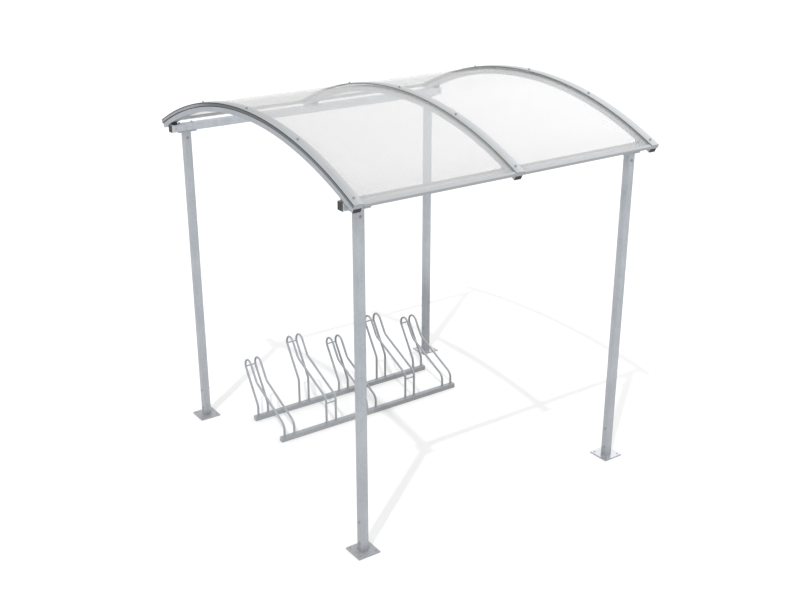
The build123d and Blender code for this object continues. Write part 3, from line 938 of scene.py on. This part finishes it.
class SHELTER_OT_end_plugs(Operator):
    """Ribbed plugs in the ends of the arches and rails, and plain ones in the rack"""

    bl_idname = "shelter.end_plugs"
    bl_label = "End plugs"

    def execute(self, context):
        roof = context.scene.shelter_roof
        on_arches = self.arch_plugs("arch_end_plugs", cells=(3, 2))
        on_rails = self.rail_plugs("rail", "rail_end_plugs", cells=(2, 2))
        on_rack = self.rail_plugs("rack_rail", "rack_end_plugs", cells=(0, 0))
        groups = {
            "arch": (on_arches, roof.plug, 0.42, "black_plastic"),
            "rail": (on_rails, roof.rail_plug, 0.5, "black_plastic"),
            "rack": (on_rack, roof.rack_plug, 0.45, "grey_plastic"),
        }
        for stem, (shells, tone, roughness, slot) in groups.items():
            plastic = moulded(f"{stem}_plug_plastic", tone, roughness, grain=900.0)
            make_piece(f"{stem}_plugs", shells, plastic, replaces=[f"{stem}_end_plugs"])
        return {"FINISHED"}

    @staticmethod
    def plug(width, height, thick, cells):
        """Plug head whose face has a grid of sunk cells between ribs.

        The face is sunk where |frac(c u) - 1/2| and |frac(c v) - 1/2| are both under 0.38: u and v
        run from 0 to 1 over the face inside its rim, and c is the number of cells each way. Its
        worn edge falls away as the square of the distance past 0.94 of the way out.
        """
        columns, rows = 61, 41
        rim, worn_rim, half_cell = 0.10, 0.06, 0.38
        sink, wear = thick * 0.6, thick * 0.25
        u, v = np.meshgrid(np.linspace(-1.0, 1.0, columns), np.linspace(-1.0, 1.0, rows))
        outward = np.maximum(np.abs(u), np.abs(v))
        worn = wear * np.clip((outward - 1.0 + worn_rim) / worn_rim, 0.0, 1.0) ** 2
        depth = np.zeros_like(u)
        if all(cells):
            inside = [(w / (1.0 - rim) + 1.0) / 2.0 * c for w, c in ((u, cells[0]), (v, cells[1]))]
            middle = [np.abs(w - np.floor(w) - 0.5) < half_cell for w in inside]
            depth = sink * (middle[0] & middle[1] & (outward < 1.0 - rim))
        front = np.stack([u * width / 2.0, v * height / 2.0, thick - depth - worn], -1)
        back = np.stack([u * width / 2.0, v * height / 2.0, np.zeros_like(u)], -1)
        return slab(front, back)

    def arch_plugs(self, node, cells):
        """Plugs on both ends of every arch, facing along it, as thick as the node's heads."""
        heads = points_of(node)
        reach = np.abs(np.arctan2(heads[:, 1], heads[:, 2] - ROOF_AXIS)).max()
        shells = []
        for side in SIDES:
            band = Band(f"arch_{side}")
            thick = (reach - band.half) * band.inner
            size = (band.x[1] - band.x[0] - PLUG_INSET, band.outer - band.inner - PLUG_INSET)
            shell = self.plug(*size, thick, cells)
            for way in (-1.0, 1.0):
                end = roof_surface(band.middle, (band.inner + band.outer) / 2.0, way * band.half)
                outwards = (0.0, way * math.cos(band.half), -math.sin(band.half))
                shells.append(settled(shell, end, outwards))
        return shells

    def rail_plugs(self, stem, node, cells):
        """Plugs on both ends of a front and a rear rail, facing along X, as thick as the node's."""
        shells = []
        for row in ROWS:
            low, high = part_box(f"{stem}_{row}")
            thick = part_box(node)[1].x - high.x
            size = (high.y - low.y - PLUG_INSET, high.z - low.z - PLUG_INSET)
            shell = self.plug(*size, thick, cells)
            for way, x in ((-1.0, low.x), (1.0, high.x)):
                end = (x, (low.y + high.y) / 2.0, (low.z + high.z) / 2.0)
                shells.append(settled(shell, end, (way, 0.0, 0.0), (0.0, 1.0, 0.0)))
        return shells


class SHELTER_OT_frame_bolts(Operator):
    """Bolts through the posts, the rails and the arches' brackets, each with its nut"""

    bl_idname = "shelter.frame_bolts"
    bl_label = "Frame bolts"

    def execute(self, context):
        scene = context.scene
        fix = scene.shelter_fixings
        bolts, caps = [], []
        for row in ROWS:
            for side in ENDS:
                self.post_bolts(fix, f"{row}_{side}", bolts)
                self.rail_bolts(fix, row, f"{row}_{side}", bolts, caps)
            self.bracket_bolts(fix, row, bolts, caps)
        coat = zinc(scene.shelter_metal, "zinc_caps", age=1.05)
        make_piece("frame_bolts", bolts, bolt_steel(scene.shelter_metal))
        make_piece("domed_caps", caps, coat)
        return {"FINISHED"}

    @staticmethod
    def post_bolts(fix, corner, bolts):
        """Two bolts along X through the foot of a post and one along Y through its top."""
        low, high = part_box(f"post_{corner}")
        middle = centre_of(f"post_{corner}")
        for z in (fix.foot_bolt_low, fix.foot_bolt_high):
            bolts += bolted(fix, (low.x, middle.y, z), (-1.0, 0.0, 0.0))
            bolts += nutted(fix, (high.x, middle.y, z), (1.0, 0.0, 0.0))
        z = high.z - fix.head_bolt_drop
        bolts += bolted(fix, (middle.x, low.y, z), (0.0, -1.0, 0.0))
        bolts += nutted(fix, (middle.x, high.y, z), (0.0, 1.0, 0.0))

    @staticmethod
    def rail_bolts(fix, row, corner, bolts, caps):
        """Two bolts up through a head plate and its rail, with domed caps on the rail."""
        plate_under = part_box(f"post_{corner}")[1].z
        rail_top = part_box(f"rail_{row}")[1].z
        middle = centre_of(f"post_{corner}")
        for way in (-1.0, 1.0):
            x = middle.x + way * fix.rail_bolt_reach
            above = (x, middle.y, rail_top)
            bolts += bolted(fix, (x, middle.y, plate_under), (0.0, 0.0, -1.0))
            caps += domed(fix, fix.cap_radius, fix.cap_height, above, (0.0, 0.0, 1.0))

    @staticmethod
    def bracket_bolts(fix, row, bolts, caps):
        """A bolt through a rail and each arch's bracket: low head inside, nut on the bracket."""
        low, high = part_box(f"rail_{row}")
        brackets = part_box("arch_brackets")
        if row == "front":
            inner, outer, way = high.y, brackets[0].y, -1.0
        else:
            inner, outer, way = low.y, brackets[1].y, 1.0
        z = (low.z + high.z) / 2.0
        button = (fix.across_flats / 2.0, fix.button_height)
        for side in SIDES:
            x = Band(f"arch_{side}").middle
            bolts += nutted(fix, (x, outer, z), (0.0, way, 0.0))
            caps += domed(fix, *button, (x, inner, z), (0.0, -way, 0.0))


class SHELTER_OT_rack_welds(Operator):
    """Finish of the wheel holders and the weld beads at the rack's legs and the arches' brackets"""

    bl_idname = "shelter.rack_welds"
    bl_label = "Rack and welds"

    def execute(self, context):
        scene = context.scene
        fix = scene.shelter_fixings
        # upright faces of the rack darker from x = 0, full past x = 0.05
        coat = zinc(scene.shelter_metal, "zinc_rack", age=0.84, darkened=("X", 0.0, 0.05))
        holders = sorted(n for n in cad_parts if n.startswith("wheel_holder_"))
        dress(coat, *holders, *(f"rack_rail_{row}" for row in ROWS))
        beads = []
        for row in ROWS:
            rail = centre_of(f"rack_rail_{row}")
            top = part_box(f"rack_rail_{row}")[1].z
            for holder in holders:
                beads += self.leg_beads(fix, holder, rail.y, top)
        make_piece("rack_weld_beads", beads, coat)
        make_piece("bracket_weld_beads", self.bracket_beads(fix), coat)
        return {"FINISHED"}

    @staticmethod
    def leg_beads(fix, holder, rail_y, top):
        """Beads round the two legs that stand on one rail."""
        near = 0.02
        x, y, z = points_of(holder).T
        foot = (z < top + CONTACT) & (np.abs(y - rail_y) < near)
        radius = (y[foot].max() - y[foot].min()) / 2.0
        places = (x[foot].min() + radius, x[foot].max() - radius)
        return [ring_bead((place, rail_y, top), radius, fix.bead) for place in places]

    @staticmethod
    def bracket_beads(fix):
        """Beads where each bracket meets the underside of its arch, on the outer face."""
        low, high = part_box("arch_brackets")
        half = (high.x - Band("arch_right").middle) * 0.9
        beads = []
        for side in SIDES:
            band = Band(f"arch_{side}")
            left, right = band.middle - half, band.middle + half
            for y in (low.y, high.y):
                z = ROOF_AXIS + math.sqrt(band.inner**2 - y**2)
                beads.append(straight_bead((left, y, z), (right, y, z), fix.bead * 0.7))
        return beads


class SHELTER_OT_stage(Operator):
    """Pale floor, even white light, one lamp for the shadows, and the camera"""

    bl_idname = "shelter.stage"
    bl_label = "Stage"

    def execute(self, context):
        scene = context.scene
        stage = scene.shelter_stage
        self.floor(scene, stage)
        self.light(scene, stage)
        self.camera(scene, stage)
        scene.view_settings.view_transform = "Standard"
        return {"FINISHED"}

    @staticmethod
    def floor(scene, stage):
        """Square floor at Z = 0, which throws no light back at the shelter."""
        half = stage.floor_size / 2.0
        corners = [(-half, -half, 0.0), (half, -half, 0.0), (half, half, 0.0), (-half, half, 0.0)]
        mesh = bpy.data.meshes.new("floor")
        mesh.from_pydata(corners, [], [[0, 1, 2, 3]])
        mesh.materials.append(pale_floor(stage))
        floor = bpy.data.objects.new("floor", mesh)
        floor.visible_diffuse = False
        floor.visible_glossy = False
        scene.collection.objects.link(floor)

    @staticmethod
    def light(scene, stage):
        """White light from every direction (x, y, z), and a lamp for the shadows.

        Its strength goes from ground to sky across the horizon. More comes from below behind the
        shelter, more from above at its right, and less from low in the sky behind it.
        """
        f = Finish(bpy.data.worlds.new("white_studio"), "Generated")
        x, y, z = f.axis("X"), f.axis("Y"), f.axis("Z")
        above = f.between(z, -0.08, 0.08)
        right = f.between(x, 0.42, 0.74) * stage.right_side
        behind = f.between(y, 0.35, 0.60) * f.between(x, 0.0, 0.3)
        low_sky = f.between(z, 0.02, 0.12) * f.between(z, 0.50, 0.30)
        ground = stage.ground + behind * stage.far_ground
        level = ground + above * (stage.sky - ground) + above * right
        inputs = {"Color": WHITE, "Strength": level - low_sky * behind * stage.far_haze}
        light = f.node("ShaderNodeBackground", {}, inputs, "Background")
        scene.world = f.done(light, "ShaderNodeOutputWorld")
        lamp = bpy.data.lights.new("shadow_lamp", "SUN")
        lamp.energy = stage.sun
        lamp.angle = stage.sun_spread
        sun = bpy.data.objects.new("shadow_lamp", lamp)
        quarter = math.pi / 2.0
        sun.rotation_euler = (quarter - stage.sun_height, 0.0, stage.sun_heading + quarter)
        scene.collection.objects.link(sun)

    @staticmethod
    def camera(scene, stage):
        """Camera at its place, turned by its heading and down by its tilt."""
        lens = bpy.data.cameras.new("camera")
        lens.lens = stage.lens
        lens.clip_end = 2.0 * stage.floor_size
        camera = bpy.data.objects.new("camera", lens)
        camera.location = stage.camera_place
        camera.rotation_euler = (math.pi / 2.0 - stage.camera_tilt, 0.0, -stage.camera_heading)
        scene.collection.objects.link(camera)
        scene.camera = camera


STEPS = (
    SHELTER_OT_frame_finish,
    SHELTER_OT_roof_sheets,
    SHELTER_OT_glazing_bars,
    SHELTER_OT_roof_screws,
    SHELTER_OT_end_plugs,
    SHELTER_OT_frame_bolts,
    SHELTER_OT_rack_welds,
    SHELTER_OT_stage,
)


class SHELTER_PT_looks(Panel):
    """Buttons for each group of pieces, with their settings"""

    bl_idname = "SHELTER_PT_looks"
    bl_label = "Bike shelter"
    bl_space_type = "VIEW_3D"
    bl_region_type = "UI"
    bl_category = "Shelter"

    def draw(self, context):
        for step in STEPS:
            self.layout.operator(step.bl_idname)
        for name, group in SETTINGS.items():
            self.layout.label(text=group.__doc__)
            for prop in group.__annotations__:
                self.layout.prop(getattr(context.scene, name), prop)


SETTINGS = {
    "shelter_metal": ShelterMetal,
    "shelter_roof": ShelterRoof,
    "shelter_fixings": ShelterFixings,
    "shelter_stage": ShelterStage,
}
CLASSES = (*SETTINGS.values(), *STEPS, SHELTER_PT_looks)


def register():
    """Adds the classes, and the settings to the scene."""
    for cls in CLASSES:
        bpy.utils.register_class(cls)
    for name, group in SETTINGS.items():
        setattr(bpy.types.Scene, name, PointerProperty(type=group))


def unregister():
    """Takes the settings and the classes away again."""
    for name in SETTINGS:
        delattr(bpy.types.Scene, name)
    for cls in reversed(CLASSES):
        bpy.utils.unregister_class(cls)


def main():
    """Dresses the frame step by step."""
    register()
    for step in STEPS:
        group, name = step.bl_idname.split(".")
        getattr(getattr(bpy.ops, group), name)()


if __name__ == "__main__":
    main()
